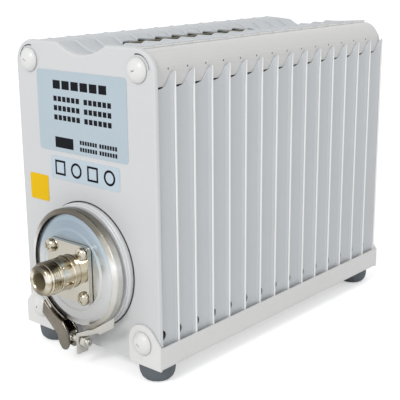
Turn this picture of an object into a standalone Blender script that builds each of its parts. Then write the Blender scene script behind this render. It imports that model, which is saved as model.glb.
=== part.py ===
"""A finned coaxial dummy load: a cooling tank inside a stack of nested sheet pans, with a resistor section
clamped to its front. Metres, +Z up, connector towards -Y. The origin is under the middle of the part."""

import math

import bmesh
import bpy

for old in list(bpy.data.objects):
    bpy.data.objects.remove(old, do_unlink=True)

# Fin stack. Heights are measured from the underside of the tray, lengths from the front plate's face.
BODY_WIDTH = 0.092
STACK_TOP = 0.145
CORNER_RADIUS = 0.011
PAN_COUNT = 15
PAN_PITCH = 0.01233
FIRST_EDGE = 0.0128
PAN_SHEET = 0.0006
PAN_BEND = 0.0007
PAN_NEST = 0.0007
SIDE_FLARE = 0.0014
SIDE_LEAN = 0.0003
LIP_SHARE = 0.82
LAND_FLARE = 0.00025
TROUGH_FLARE = 0.0013
PAN_BOTTOM = 0.0013
SHOULDER_DROP = 0.0175
# Rise of a side flange's top edge, against the share of its depth from the fold.
TIP_CURVE = [(0.0, 0.0), (0.25, 0.0003), (0.47, 0.0012), (0.66, 0.0039), (LIP_SHARE, 0.0071), (1.0, 0.0077)]
TOP_TIP_REACH = 0.0032
CLEARANCE = 0.0003

# Trough along the top, and the long slot in it.
TROUGH_HALF_WIDTH = 0.0162
TROUGH_DEPTH = 0.0052
SLOT_HALF_WIDTH = 0.0125
SLOT_START = 0.031
SLOT_END_GAP = 0.0425
SLOT_DEPTH = 0.023
LINER_SHEET = 0.0008
LINER_RIM_DROP = 0.0013

# End plates, corner rails and tray.
PLATE_SHEET = 0.0008
PLATE_BEND = 0.0012
PLATE_EDGE = 0.0018
PLATE_APRON_BOTTOM = 0.0002
REAR_TOP_DROP = 0.0024
RELIEF_SLIT_WIDTH = 0.0006
RELIEF_SLIT_RADIUS = 0.0069
RAIL_INSET = 0.0019
RAIL_TOP_INSET = 0.001
RAIL_SHEET = 0.0008
RAIL_DROP = 0.0165
RAIL_TAIL_INSET = 0.014
TIP_HOLE_RADIUS = 0.00055
TIP_HOLE_RISE = 0.0006
TRAY_SHEET = 0.001
TRAY_SIDE_HEIGHT = 0.011
TRAY_BEND = 0.0016
EAR_ARCH_RADIUS = 0.0088
EAR_FOOT_RADIUS = 0.003
EAR_OVERLAP = 0.0001
VENT_HEIGHT = 0.0158
VENT_HALF_HEIGHT = 0.0028
VENT_REACH = 0.0032

# Tie rods through the corners of the stack.
ROD_INSET = 0.0101
ROD_LOW = 0.0111
ROD_DROP = 0.0095
ROD_RADIUS = 0.002
HEAD_RADIUS = 0.0058
HEAD_RISE = 0.003
HEAD_SLOT_WIDTH = 0.0008
HEAD_SLOT_LENGTH = 0.0034
HEAD_SLOT_DEPTH = 0.0007
NUT_RADIUS = 0.0042
NUT_HEIGHT = 0.0032
ROD_STANDOUT = 0.0012

# Cooling tank and what is clamped to it. The tank leaves this much body on each side, and under it.
TANK_SIDE_MARGIN = 0.0188
TANK_RISE = 0.0138
TANK_WALL = 0.0015
TANK_END_GAP = 0.0119
CAP_SETBACK = 0.001
CAP_DEPTH = 0.005
CAP_SHEET = 0.0012
CAP_RIM = 0.002
RING_WIDTH = 0.003
RING_THICKNESS = 0.0022
RING_STEP = 0.0009
RING_STEP_THICKNESS = 0.0009
RING_BEVEL = 0.0004
TANK_LIP_RISE = 0.0008
TANK_LIP_THICKNESS = 0.0016
GROOVE_DROP = 0.0008
CLAMP_GROOVE = 0.00215
SEAL_THICKNESS = 0.0006
SEAL_WIDTH = 0.0016
DISC_FLANGE_THICKNESS = 0.0014
DISC_FACE_DROP = 0.0013
DISC_FACE_RISE = 0.00085
DISC_SPIGOT_DEPTH = 0.006
BAND_RISE = 0.0023
BAND_SHEET = 0.0009
BAND_FOOT_DROP = 0.0004
BAND_LEG_SPREAD = 0.0006
BAND_GAP_ANGLE = 17
LUG_SHEET = 0.0012
STRAP_SPAN = 50
ANGLE_SPAN = 31
CLAMP_SCREW_RADIUS = 0.0019
CLAMP_SCREW_DROP = 0.0064
CLAMP_NUT_RADIUS = 0.0029
CLAMP_NUT_LENGTH = 0.0052
CLAMP_SCREW_STANDOUT = 0.0012
TRUNNION_RADIUS = 0.0023
TRUNNION_X = -0.0064
LUG_RIGHT_FACE = 0.0025
# Outlines of the clamp's fittings, from the lowest point of the band.
LUG_LEFT = [(-0.0045, -0.0032), (-0.0042, -0.0082), (-0.0052, -0.0114), (-0.0072, -0.0131)]
LUG_LEFT += [(-0.0092, -0.0129), (-0.0112, -0.0107), (-0.0126, -0.006), (-0.0238, 0.003)]
LUG_WEB = [(-0.0236, 0.0032), (-0.0124, -0.0058), (-0.011, -0.0105), (-0.0091, -0.0127)]
LUG_WEB += [(-0.0084, -0.0118), (-0.01, -0.01), (-0.0114, -0.0053), (-0.0226, 0.0042)]
LUG_RIGHT = [(0.0016, -0.0019), (0.0009, -0.0026), (0.0009, -0.0126), (0.0025, -0.0126)]
LUG_RIGHT += [(0.0025, -0.0035), (0.009, -0.0012), (0.0164, 0.0022)]
TAB_OUTLINE = [(0.0276, 0.0127), (0.027, 0.0077), (0.018, 0.002)]
TAB_SPREAD = 3.5
CHEEK_OVERLAP = 0.0002
NUT_BEVEL = 0.0006
HORN_WALL = 0.0012
HORN_INSET = 0.004
HORN_REAR_RADIUS = 0.0085
HORN_END_GAP = 0.022
RESISTOR_RADIUS = 0.0045
RESISTOR_SETBACK = 0.012

# Connector.
FLANGE_HALF = 0.0141
FLANGE_THICKNESS = 0.0022
FLANGE_CORNER = 0.0022
CONNECTOR_SCREW_PLACE = 0.01075
CONNECTOR_SCREW_RADIUS = 0.0029
CONNECTOR_SCREW_RISE = 0.0019
CONNECTOR_SCREW_DOME = 0.0012
CONNECTOR_SHANK_RADIUS = 0.0015
CONNECTOR_SCREW_REACH = 0.0015
CONNECTOR_SLOT_WIDTH = 0.0008
CONNECTOR_SLOT_DEPTH = 0.0008
BARREL_SINK = 0.0005
BARREL_BEVEL = 0.0003
CORE_GAP = 0.0024
SHOULDER_RADIUS = 0.0083
SHOULDER_LENGTH = 0.0044
NECK_RADIUS = 0.0079
NECK_LENGTH = 0.0048
THREAD_RADIUS = 0.00794
MOUTH_CHAMFER = 0.0011
BARREL_LENGTH = 0.0174
GROOVE_DEPTH = 0.0006
GROOVE_WIDTH = 0.0009
BORE_RADIUS = 0.00425
CONTACT_RADIUS = 0.00152
CONTACT_RECESS = 0.005
BEAD_RECESS = 0.0095
BEAD_LENGTH = 0.004

# Feet.
FOOT_RADIUS = 0.0086
FOOT_HEIGHT = 0.0087
FOOT_FLAT_RADIUS = 0.0052
FOOT_SIDE_INSET = 0.01
FOOT_FRONT_INSET = 0.0082
FOOT_REAR_INSET = 0.007
FOOT_SCREW_RADIUS = 0.0015
FOOT_SCREW_HEAD_RADIUS = 0.0028
FOOT_SCREW_HEAD_HEIGHT = 0.0016
FOOT_RECESS_RADIUS = 0.0033
FOOT_RECESS_DEPTH = 0.004

# Places that follow from the sizes above.
STACK_LENGTH = FIRST_EDGE + (PAN_COUNT - 1) * PAN_PITCH
REAR_FACE = STACK_LENGTH + 0.0005
SHOULDER_HEIGHT = STACK_TOP - SHOULDER_DROP
SLOT_END = STACK_LENGTH - SLOT_END_GAP
RAIL_LOW = STACK_TOP - RAIL_DROP
RAIL_TAIL_X = BODY_WIDTH / 2 - RAIL_TAIL_INSET
ROD_X = BODY_WIDTH / 2 - ROD_INSET
ROD_HIGH = STACK_TOP - ROD_DROP
FOOT_X = BODY_WIDTH / 2 - FOOT_SIDE_INSET
EAR_FRONT = -CLEARANCE - TRAY_SHEET
EAR_REAR = REAR_FACE + CLEARANCE + TRAY_SHEET
TRAY_HALF_WIDTH = BODY_WIDTH / 2 + CLEARANCE + TRAY_SHEET
TANK_RADIUS = BODY_WIDTH / 2 - TANK_SIDE_MARGIN
TANK_HEIGHT = TANK_RADIUS + TANK_RISE
TANK_LENGTH = STACK_LENGTH - TANK_END_GAP
RING_RADIUS = TANK_RADIUS + RING_WIDTH
TANK_LIP_RADIUS = TANK_RADIUS + TANK_LIP_RISE
GROOVE_RADIUS = TANK_RADIUS - GROOVE_DROP
DISC_FACE_RADIUS = TANK_RADIUS - DISC_FACE_DROP
BAND_RADIUS = TANK_RADIUS + BAND_RISE
BAND_FOOT_RADIUS = TANK_RADIUS - BAND_FOOT_DROP
HORN_FRONT_RADIUS = TANK_RADIUS - HORN_INSET
RING_BACK = -CLEARANCE
STEP_BACK = RING_BACK - RING_THICKNESS
STEP_FRONT = STEP_BACK - RING_STEP_THICKNESS
LIP_BACK = STEP_FRONT - CLAMP_GROOVE
LIP_FRONT = LIP_BACK - TANK_LIP_THICKNESS
SEAL_BACK = LIP_FRONT - CLEARANCE
DISC_BACK = SEAL_BACK - SEAL_THICKNESS - CLEARANCE
DISC_FRONT = DISC_BACK - DISC_FLANGE_THICKNESS
DISC_FACE = DISC_FRONT - DISC_FACE_RISE
FLANGE_BACK = DISC_FACE - CLEARANCE
FLANGE_FRONT = FLANGE_BACK - FLANGE_THICKNESS
MOUTH = FLANGE_FRONT - BARREL_LENGTH
HORN_END = TANK_LENGTH - HORN_END_GAP
ROD_END = EAR_REAR + CLEARANCE + NUT_HEIGHT + ROD_STANDOUT
BAND_MIDDLE = (LIP_BACK + DISC_FRONT) / 2
BAND_HALF_WIDTH = (LIP_BACK - DISC_FRONT) / 2 + CLEARANCE * 0.6 + BAND_SHEET * 0.4
CLAMP_SCREW_HEIGHT = TANK_HEIGHT - BAND_RADIUS - CLAMP_SCREW_DROP
PART_MIDDLE = (MOUTH + ROD_END) / 2

# The empty carries the whole part, so that the part stands on its feet around the origin.
datum = bpy.data.objects.new("datum", None)
datum.location = (0, -PART_MIDDLE, FOOT_HEIGHT)
bpy.context.scene.collection.objects.link(datum)


def material(name, colour, roughness, metallic=0.0):
    made = bpy.data.materials.new(name)
    made.use_nodes = True
    shader = made.node_tree.nodes["Principled BSDF"]
    shader.inputs["Base Color"].default_value = (*colour, 1)
    shader.inputs["Roughness"].default_value = roughness
    shader.inputs["Metallic"].default_value = metallic
    return made


PAINT = material("grey_paint", (0.58, 0.59, 0.60), 0.45)
RING_PAINT = material("white_paint", (0.64, 0.65, 0.66), 0.4)
LINER_METAL = material("liner_bronze", (0.2, 0.18, 0.14), 0.45, 0.6)
RUBBER = material("foot_rubber", (0.07, 0.08, 0.09), 0.7)
NICKEL = material("warm_nickel", (0.62, 0.56, 0.47), 0.18, 1)
POLISHED_STEEL = material("polished_steel", (0.62, 0.6, 0.57), 0.16, 1)
ALUMINIUM = material("turned_aluminium", (0.72, 0.73, 0.74), 0.35, 1)
ZINC = material("zinc_steel", (0.6, 0.6, 0.58), 0.3, 1)
SEAL = material("seal_rubber", (0.04, 0.04, 0.04), 0.6)
BEAD = material("insulator", (0.85, 0.84, 0.8), 0.4)
CERAMIC = material("resistor_ceramic", (0.3, 0.28, 0.26), 0.6)


def place(name, shape, look, location=(0, 0, 0)):
    """A named sub-part from a bmesh or a mesh, carried by the datum."""
    if isinstance(shape, bmesh.types.BMesh):
        mesh = bpy.data.meshes.new(name)
        shape.to_mesh(mesh)
        shape.free()
    else:
        mesh = shape
    part = bpy.data.objects.new(name, mesh)
    if look and not mesh.materials:
        mesh.materials.append(look)
    part.parent = datum
    part.location = location
    bpy.context.scene.collection.objects.link(part)
    return part


def tool(name, shape, location=(0, 0, 0)):
    """A cutter or filler, which is no sub-part itself."""
    helper = place(name, shape, None, location)
    helper.hide_render = True
    helper.display_type = "WIRE"
    return helper


def combine(part, other, operation):
    step = part.modifiers.new(f"{operation.lower()} {other.name}", "BOOLEAN")
    step.operation = operation
    step.object = other
    step.solver = "EXACT"


def smooth(part, degrees=35):
    part.data.shade_smooth()
    part.data.set_sharp_from_angle(angle=math.radians(degrees))


def arc(centre_x, centre_z, radius, start, end, steps):
    """Points on an arc in the XZ plane, from start to end in degrees."""
    angles = [math.radians(start + (end - start) * i / steps) for i in range(steps + 1)]
    return [(centre_x + radius * math.cos(a), centre_z + radius * math.sin(a)) for a in angles]


def prism(outline, start, end):
    """An outline in the XZ plane, drawn out along Y."""
    shape = bmesh.new()
    face = shape.faces.new([shape.verts.new((x, start, z)) for x, z in outline])
    grown = bmesh.ops.extrude_face_region(shape, geom=[face])
    moved = [v for v in grown["geom"] if isinstance(v, bmesh.types.BMVert)]
    bmesh.ops.translate(shape, verts=moved, vec=(0, end - start, 0))
    bmesh.ops.recalc_face_normals(shape, faces=shape.faces)
    return shape


def turned(profile, steps, height=0.0, x=0.0):
    """A profile of (radius, y) points turned about an axis along Y. It closes on itself or on the axis."""
    shape = bmesh.new()
    points = [shape.verts.new((r, y, 0)) for r, y in profile]
    edges = [shape.edges.new((points[i], points[i + 1])) for i in range(len(points) - 1)]
    if profile[0][0] > 0:
        edges.append(shape.edges.new((points[-1], points[0])))
    bmesh.ops.spin(
        shape,
        geom=points + edges,
        cent=(0, 0, 0),
        axis=(0, 1, 0),
        angle=math.tau,
        steps=steps,
        use_merge=True,
    )
    bmesh.ops.remove_doubles(shape, verts=shape.verts, dist=1e-7)
    bmesh.ops.recalc_face_normals(shape, faces=shape.faces)
    bmesh.ops.translate(shape, verts=shape.verts, vec=(x, 0, height))
    return shape


def rod_along_y(radius, start, end, steps, x, height):
    return turned([(0, start), (radius, start), (radius, end), (0, end)], steps, height, x)


def turn_upright(shape):
    """Swaps the shape's Y axis for Z, so that what pointed to -Y points down."""
    for vert in shape.verts:
        x, y, z = vert.co
        vert.co = (x, -z, y)
    return shape


def trough(x):
    """How far the top surface dips at this x: a round bottom between two crisp shoulders."""
    if abs(x) >= TROUGH_HALF_WIDTH:
        return 0.0
    return TROUGH_DEPTH * (1 - (x / TROUGH_HALF_WIDTH) ** 2)


def top_stations(outer, count):
    """X places across the top, from +outer to -outer, closer together over the trough."""
    half = [TROUGH_HALF_WIDTH * i / count for i in range(count + 1)]
    places = [outer, (outer + TROUGH_HALF_WIDTH) / 2] + half[::-1]
    return places + [-x for x in places[-2::-1]]


def pan_top(x, share):
    """Height of a pan's top flange: share runs from 0 at its fold to 1 at its free edge. The outer ends
    rise a little towards the free edge, and the trough falls."""
    land = PAN_LAND_END - TROUGH_HALF_WIDTH
    weight = min(1.0, max(0.0, (abs(x) - TROUGH_HALF_WIDTH) / land))
    return STACK_TOP - trough(x) - LAND_FLARE * weight * (1 - share) - TROUGH_FLARE * (1 - weight) * share


# A pan's corner clears the inside of the rail, and its top flange starts where the rail's tail ends.
PAN_CORNER_INSET = RAIL_INSET + RAIL_SHEET + CLEARANCE
PAN_LAND_END = RAIL_TAIL_X - CLEARANCE


def pan_mesh(depth):
    """One pan as a surface, with the free edge of its flanges at y = 0: a front sheet, side flanges that
    flare to the rear, and a top flange that follows the trough. Solidify gives it its sheet thickness."""
    shape = bmesh.new()
    fold = BODY_WIDTH / 2 - SIDE_FLARE
    bends = []
    for a in (0, math.pi / 4, math.pi / 2):
        bends.append((PAN_BEND * (1 - math.sin(a)), -depth + PAN_BEND * (1 - math.cos(a))))
    start = -depth + PAN_BEND
    top_end = -PAN_NEST - CLEARANCE
    centre_x = BODY_WIDTH / 2 - CORNER_RADIUS
    centre_z = STACK_TOP - CORNER_RADIUS
    corner = arc(centre_x, centre_z, CORNER_RADIUS - PAN_CORNER_INSET, 0, 90, 4)
    sides = []
    for sign in (1, -1):
        columns = []
        for inset, y in bends:
            x = sign * (fold - inset)
            columns.append([(x, y, PAN_BOTTOM), (x, y, SHOULDER_HEIGHT)])
        for share, rise in TIP_CURVE[1:]:
            lip = max(0, (share - LIP_SHARE) / (1 - LIP_SHARE))
            x = sign * (fold + SIDE_LEAN * share + (SIDE_FLARE - SIDE_LEAN) * lip)
            y = start * (1 - share)
            columns.append([(x, y, PAN_BOTTOM), (x, y, SHOULDER_HEIGHT + rise)])
        made = [[shape.verts.new(p) for p in column] for column in columns]
        for near, far in zip(made, made[1:]):
            shape.faces.new((near[0], far[0], far[1], near[1]))
        edge = list(made[0])
        for x, z in [(corner[0][0], SHOULDER_HEIGHT)] + corner + [(PAN_LAND_END, corner[-1][1])]:
            edge.append(shape.verts.new((sign * x, -depth, z)))
        sides.append(edge)
    rows = []
    for inset, y in bends:
        rows.append([(x, y, pan_top(x, 0) - inset) for x in top_stations(PAN_LAND_END, 5)])
    for share in (0.6, 1.0):
        reach = PAN_LAND_END + TOP_TIP_REACH * share**4
        y = start + (top_end - start) * share
        rows.append([(x, y, pan_top(x, share)) for x in top_stations(reach, 5)])
    top = [[shape.verts.new(p) for p in row] for row in rows]
    for near, far in zip(top, top[1:]):
        for i in range(len(near) - 1):
            shape.faces.new((near[i], far[i], far[i + 1], near[i + 1]))
    front = shape.faces.new(sides[0] + top[0] + sides[1][::-1])
    face_outwards(shape, front, -1)
    mesh = bpy.data.meshes.new("pan")
    shape.to_mesh(mesh)
    shape.free()
    mesh.materials.append(PAINT)
    return mesh


def face_outwards(shape, flat, direction):
    """Turns an open surface so that its flat face looks to -Y or +Y."""
    bmesh.ops.recalc_face_normals(shape, faces=shape.faces)
    flat.normal_update()
    if flat.normal.y * direction < 0:
        bmesh.ops.reverse_faces(shape, faces=shape.faces)


def thicken(part, sheet):
    step = part.modifiers.new("sheet", "SOLIDIFY")
    step.thickness = sheet
    step.offset = -1
    step.use_even_offset = True


def stadium(half_width, start, end, steps):
    """A slot's outline in plan, as (x, y) points."""
    near = start + half_width
    far = end - half_width
    points = []
    for centre, first in ((near, 180), (far, 0)):
        for i in range(steps + 1):
            a = math.radians(first + 180 * i / steps)
            points.append((half_width * math.cos(a), centre + half_width * math.sin(a)))
    return points


def upright_prism(plan, low, high):
    """An outline in plan, drawn out along Z."""
    shape = bmesh.new()
    face = shape.faces.new([shape.verts.new((x, y, low)) for x, y in plan])
    grown = bmesh.ops.extrude_face_region(shape, geom=[face])
    moved = [v for v in grown["geom"] if isinstance(v, bmesh.types.BMVert)]
    bmesh.ops.translate(shape, verts=moved, vec=(0, 0, high - low))
    bmesh.ops.recalc_face_normals(shape, faces=shape.faces)
    return shape


def rod_places():
    heights = (ROD_LOW, ROD_HIGH)
    return [(sign * ROD_X, height) for height in heights for sign in (-1, 1)]


def join_shapes(shapes):
    """Several separate closed shapes in one helper mesh."""
    whole = bmesh.new()
    for shape in shapes:
        mesh = bpy.data.meshes.new("piece")
        shape.to_mesh(mesh)
        shape.free()
        whole.from_mesh(mesh)
        bpy.data.meshes.remove(mesh)
    return whole


def vent_shape(sign, y):
    """The half-oval vent behind each fold, cut through one side flange."""
    reach = 2 * (PAN_SHEET + SIDE_FLARE)
    outline = []
    for i in range(7):
        a = math.radians(-90 + 180 * i / 6)
        outline.append((y + VENT_REACH * math.cos(a), VENT_HEIGHT + VENT_HALF_HEIGHT * math.sin(a)))
    shape = bmesh.new()
    inner = sign * (BODY_WIDTH / 2 - reach)
    face = shape.faces.new([shape.verts.new((inner, py, pz)) for py, pz in outline])
    grown = bmesh.ops.extrude_face_region(shape, geom=[face])
    moved = [v for v in grown["geom"] if isinstance(v, bmesh.types.BMVert)]
    bmesh.ops.translate(shape, verts=moved, vec=(sign * 2 * reach, 0, 0))
    bmesh.ops.recalc_face_normals(shape, faces=shape.faces)
    return shape


def build_stack():
    hole = (TANK_RADIUS + CLEARANCE) / math.cos(math.pi / 24)
    tank_way = tool("tank_way", rod_along_y(hole, EAR_FRONT, STACK_LENGTH, 24, 0, TANK_HEIGHT))
    hole = (ROD_RADIUS + CLEARANCE) / math.cos(math.pi / 6)
    near = EAR_FRONT - ROD_RADIUS
    far = EAR_REAR + ROD_RADIUS
    ways = [rod_along_y(hole, near, far, 6, x, z) for x, z in rod_places()]
    rod_way = tool("rod_way", join_shapes(ways))
    folds = [PLATE_EDGE + CLEARANCE] + [FIRST_EDGE + PAN_PITCH * k for k in range(PAN_COUNT - 1)]
    vents = tool("vents", join_shapes([vent_shape(sign, fold) for fold in folds for sign in (-1, 1)]))
    floor = STACK_TOP - SLOT_DEPTH
    above = STACK_TOP + SLOT_DEPTH
    slot_plan = stadium(SLOT_HALF_WIDTH, SLOT_START, SLOT_END, 8)
    slot_way = tool("slot_way", upright_prism(slot_plan, floor - CLEARANCE, above))
    short = FIRST_EDGE - PLATE_EDGE - CLEARANCE
    full = PAN_PITCH + PAN_NEST
    meshes = [pan_mesh(short)] + [pan_mesh(full)] * (PAN_COUNT - 1)
    for k, mesh in enumerate(meshes):
        edge = FIRST_EDGE + PAN_PITCH * k
        pan = place(f"fin_{k + 1:02d}", mesh, PAINT, (0, edge, 0))
        thicken(pan, PAN_SHEET)
        combine(pan, tank_way, "DIFFERENCE")
        combine(pan, rod_way, "DIFFERENCE")
        combine(pan, vents, "DIFFERENCE")
        if edge > SLOT_START and edge - full < SLOT_END:
            combine(pan, slot_way, "DIFFERENCE")
    smooth(place_plate("front_plate", 0, 0, 0, 1, rod_way))
    smooth(place_plate("rear_plate", SIDE_FLARE, REAR_TOP_DROP, REAR_FACE, -1, rod_way))
    build_liner(floor)


def plate_edge(inset, shrink, drop):
    """Path of an end plate's edge, from the bottom right over the top to the bottom left. Shrink makes the
    plate narrower on each side, drop makes it lower, and inset follows its rolled edge inwards."""
    centre_x = BODY_WIDTH / 2 - CORNER_RADIUS
    centre_z = STACK_TOP - CORNER_RADIUS - drop + shrink
    right = [(BODY_WIDTH / 2 - inset - shrink, PAN_BOTTOM)]
    right += arc(centre_x, centre_z, CORNER_RADIUS - inset - shrink, 0, 90, 7)
    places = top_stations(TROUGH_HALF_WIDTH + 0.003, 6)[1:-1]
    top = [(x, STACK_TOP - inset - drop - trough(x)) for x in places]
    return right + top + [(-x, z) for x, z in right[::-1]]


def place_plate(name, shrink, drop, face, inwards, rod_way):
    """An end plate with rolled edges on three sides: inwards is +1 where the edges point to +Y, and -1 for
    the other way. Between the tray's ears an apron hangs down over the end of its floor."""
    shape = bmesh.new()
    rings = []
    for a in (0, math.pi / 4, math.pi / 2):
        inset = PLATE_BEND * (1 - math.sin(a))
        rings.append((inset, face + inwards * PLATE_BEND * (1 - math.cos(a))))
    rings.append((0, face + inwards * PLATE_EDGE))
    made = [[shape.verts.new((x, y, z)) for x, z in plate_edge(inset, shrink, drop)] for inset, y in rings]
    for near, far in zip(made, made[1:]):
        for i in range(len(near) - 1):
            shape.faces.new((near[i], far[i], far[i + 1], near[i + 1]))
    apron = ROD_X - EAR_ARCH_RADIUS - CLEARANCE
    foot = [(-apron, PAN_BOTTOM), (-apron, PLATE_APRON_BOTTOM)]
    foot += [(-x, z) for x, z in foot[::-1]]
    flat = shape.faces.new(made[0] + [shape.verts.new((x, face, z)) for x, z in foot])
    face_outwards(shape, flat, -inwards)
    plate = place(name, shape, PAINT)
    thicken(plate, PLATE_SHEET)
    combine(plate, rod_way, "DIFFERENCE")
    if inwards > 0:
        radius = TANK_RADIUS + CLEARANCE
        hole = tool("plate_hole", rod_along_y(radius, -PLATE_EDGE, 2 * PLATE_EDGE, 48, 0, TANK_HEIGHT))
        combine(plate, hole, "DIFFERENCE")
        slits = tool("relief_slits", join_shapes([relief_slit(sign) for sign in (-1, 1)]))
        combine(plate, slits, "DIFFERENCE")
    return plate


def relief_slit(sign):
    """The thin curved slit outside each upper screw head."""
    middle = RELIEF_SLIT_RADIUS
    half = RELIEF_SLIT_WIDTH / 2
    outer = arc(ROD_X, ROD_HIGH, middle + half, 5, 105, 9)
    inner = arc(ROD_X, ROD_HIGH, middle - half, 105, 5, 9)
    return prism([(sign * x, z) for x, z in outer + inner], -PLATE_EDGE, PLATE_EDGE)


def build_liner(floor):
    outer = SLOT_HALF_WIDTH - CLEARANCE
    start = SLOT_START + CLEARANCE
    end = SLOT_END - CLEARANCE
    above = STACK_TOP + SLOT_DEPTH
    tub = place("slot_liner", upright_prism(stadium(outer, start, end, 8), floor, above), LINER_METAL)
    plan = stadium(outer - LINER_SHEET, start + LINER_SHEET, end - LINER_SHEET, 8)
    inside = tool("liner_inside", upright_prism(plan, floor + LINER_SHEET, above + LINER_SHEET))
    places = top_stations(TROUGH_HALF_WIDTH, 5)[1:-1]
    over = [(x, STACK_TOP - trough(x) - LINER_RIM_DROP) for x in places]
    over += [(-TROUGH_HALF_WIDTH, above + SLOT_DEPTH), (TROUGH_HALF_WIDTH, above + SLOT_DEPTH)]
    rim = tool("liner_rim_cut", prism(over, SLOT_START - SLOT_HALF_WIDTH, SLOT_END + SLOT_HALF_WIDTH))
    combine(tub, inside, "DIFFERENCE")
    combine(tub, rim, "DIFFERENCE")


def build_rails():
    """Quarter-round strips along the upper corners, with a small hole above each fin's tip."""
    centre_x = BODY_WIDTH / 2 - CORNER_RADIUS
    centre_z = STACK_TOP - CORNER_RADIUS + RAIL_INSET - RAIL_TOP_INSET
    outer = CORNER_RADIUS - RAIL_INSET
    inner = outer - RAIL_SHEET
    outline = [(centre_x + outer, RAIL_LOW)] + arc(centre_x, centre_z, outer, 0, 90, 8)
    outline += [(RAIL_TAIL_X, centre_z + outer), (RAIL_TAIL_X, centre_z + inner)]
    outline += arc(centre_x, centre_z, inner, 90, 0, 8) + [(centre_x + inner, RAIL_LOW)]
    end = REAR_FACE - PLATE_EDGE - CLEARANCE
    tip = SHOULDER_HEIGHT + TIP_CURVE[-1][1] + TIP_HOLE_RISE
    back = (PAN_PITCH + PAN_NEST) * (1 - LIP_SHARE)
    places = [FIRST_EDGE + PAN_PITCH * k - back for k in range(PAN_COUNT - 1)]
    for name, sign in (("rail_right", 1), ("rail_left", -1)):
        rail = place(name, prism([(sign * x, z) for x, z in outline], PLATE_EDGE + CLEARANCE, end), PAINT)
        ways = []
        for y in places:
            near = sign * (centre_x + inner) - sign * outer / 2
            way = rod_along_x(TIP_HOLE_RADIUS, near, near + sign * outer, 6, y, tip)
            ways.append(way)
        combine(rail, tool(name + "_holes", join_shapes(ways)), "DIFFERENCE")
        smooth(rail)


def ear_outline():
    """The arched ear round a lower screw: its right flank runs down to the tray's side wall."""
    left = ROD_X - EAR_ARCH_RADIUS
    reach = TRAY_HALF_WIDTH - EAR_OVERLAP - ROD_X
    touch = math.degrees(math.acos(min(1.0, EAR_ARCH_RADIUS / reach)))
    points = arc(left + EAR_FOOT_RADIUS, EAR_FOOT_RADIUS + EAR_OVERLAP, EAR_FOOT_RADIUS, 180, 270, 4)[::-1]
    points = [(TRAY_HALF_WIDTH - EAR_OVERLAP, EAR_OVERLAP)] + points
    points += arc(ROD_X, ROD_LOW, EAR_ARCH_RADIUS, 180, touch, 9)
    return points + [(TRAY_HALF_WIDTH - EAR_OVERLAP, ROD_LOW)]


def build_tray():
    """Floor and side walls folded from one sheet, with an arched ear at each corner."""
    half = TRAY_HALF_WIDTH
    outer = TRAY_BEND
    inner = TRAY_BEND - TRAY_SHEET
    right = [(half, TRAY_SIDE_HEIGHT)] + arc(half - outer, outer, outer, 0, -90, 4)
    left = [(-x, z) for x, z in right[::-1]]
    inside_left = [(-(half - TRAY_SHEET), TRAY_SIDE_HEIGHT)]
    inside_left = arc(-(half - outer), outer, inner, -90, -180, 3) + inside_left
    inside_right = [(-x, z) for x, z in inside_left[::-1]]
    section = right + left + inside_left[::-1] + inside_right[::-1]
    tray = place("base_tray", prism(section, EAR_FRONT + EAR_OVERLAP, EAR_REAR - EAR_OVERLAP), PAINT)
    ears = []
    for sign in (-1, 1):
        outline = [(sign * x, z) for x, z in ear_outline()]
        ears.append(prism(outline, EAR_FRONT, EAR_FRONT + TRAY_SHEET))
        ears.append(prism(outline, EAR_REAR - TRAY_SHEET, EAR_REAR))
    for number, shape in enumerate(ears):
        combine(tray, tool(f"ear_{number}", shape), "UNION")
    between = ROD_X - EAR_ARCH_RADIUS
    behind = PLATE_SHEET + CLEARANCE
    for name, start, end in (
        ("front_gap", 2 * EAR_FRONT, behind),
        ("rear_gap", REAR_FACE - behind, EAR_REAR + TRAY_SHEET),
    ):
        box = [(between, -TRAY_SHEET), (between, 2 * TRAY_SHEET)]
        box += [(-x, z) for x, z in box[::-1]]
        combine(tray, tool(name, prism(box, start, end)), "DIFFERENCE")
    combine(tray, bpy.data.objects["rod_way"], "DIFFERENCE")
    holes = [foot_bore(x, y) for x, y in foot_places()]
    combine(tray, tool("foot_holes", join_shapes(holes)), "DIFFERENCE")
    smooth(tray)


def foot_places():
    ends = (FOOT_FRONT_INSET, STACK_LENGTH - FOOT_REAR_INSET)
    return [(sign * FOOT_X, y) for y in ends for sign in (-1, 1)]


def foot_bore(x, y):
    reach = 2 * TRAY_SHEET
    shape = turn_upright(rod_along_y(FOOT_SCREW_RADIUS + CLEARANCE, -reach, reach, 10, 0, 0))
    bmesh.ops.translate(shape, verts=shape.verts, vec=(x, y, 0))
    return shape


def foot_shape():
    """A round rubber foot: a dome with a small flat, and a recess for its screw."""
    top = -CLEARANCE
    low = -FOOT_HEIGHT
    bore = FOOT_SCREW_RADIUS + CLEARANCE
    side = low + (FOOT_HEIGHT - CLEARANCE) * 0.62
    profile = [(bore, top), (FOOT_RADIUS, top), (FOOT_RADIUS, side)]
    for i in range(1, 5):
        a = math.radians(90 * i / 4)
        r = FOOT_FLAT_RADIUS + (FOOT_RADIUS - FOOT_FLAT_RADIUS) * math.cos(a)
        profile.append((r, side - (side - low) * math.sin(a)))
    roof = low + FOOT_RECESS_DEPTH
    profile += [(FOOT_RECESS_RADIUS, low), (FOOT_RECESS_RADIUS, roof), (bore, roof)]
    return turn_upright(turned(profile, 16))


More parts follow.
